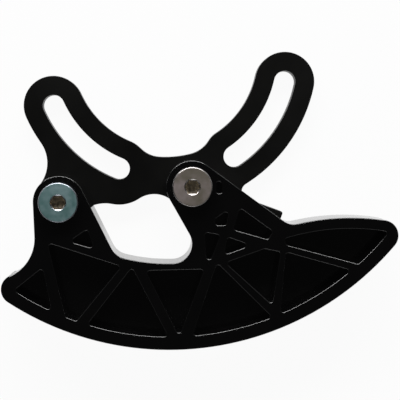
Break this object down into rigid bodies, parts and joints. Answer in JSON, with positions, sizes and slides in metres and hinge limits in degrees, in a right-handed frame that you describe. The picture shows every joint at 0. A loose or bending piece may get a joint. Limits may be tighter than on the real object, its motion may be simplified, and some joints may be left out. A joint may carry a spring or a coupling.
{
  "type": "chainring guard",
  "caption": "Ribbed bash guard on two screw legs, bolted to a slotted backplate that mounts round a bicycle's bottom bracket.",
  "frame": {"origin": "crank axis, where it meets the backplate's rear face", "axes": "+X to the right of the front view, +Y up it, +Z out of the front along the crank axis, away from the bicycle frame"},
  "size_m": [0.1148, 0.087, 0.0186],
  "materials": {
    "plate": "black anodised, satin",
    "guard": "black moulded nylon, satin",
    "blue_zinc": "clear zinc plate with a blue-green tint",
    "nickel": "dull nickel plate",
    "sleeve": "plain turned steel"
  },
  "bodies": {
    "root": {"backplate": "plate", "bash_guard": "guard", "guard_screw_left": "blue_zinc", "guard_screw_right": "nickel", "guard_sleeve_left": "sleeve", "guard_sleeve_right": "sleeve"}
  },
  "joints": []
}
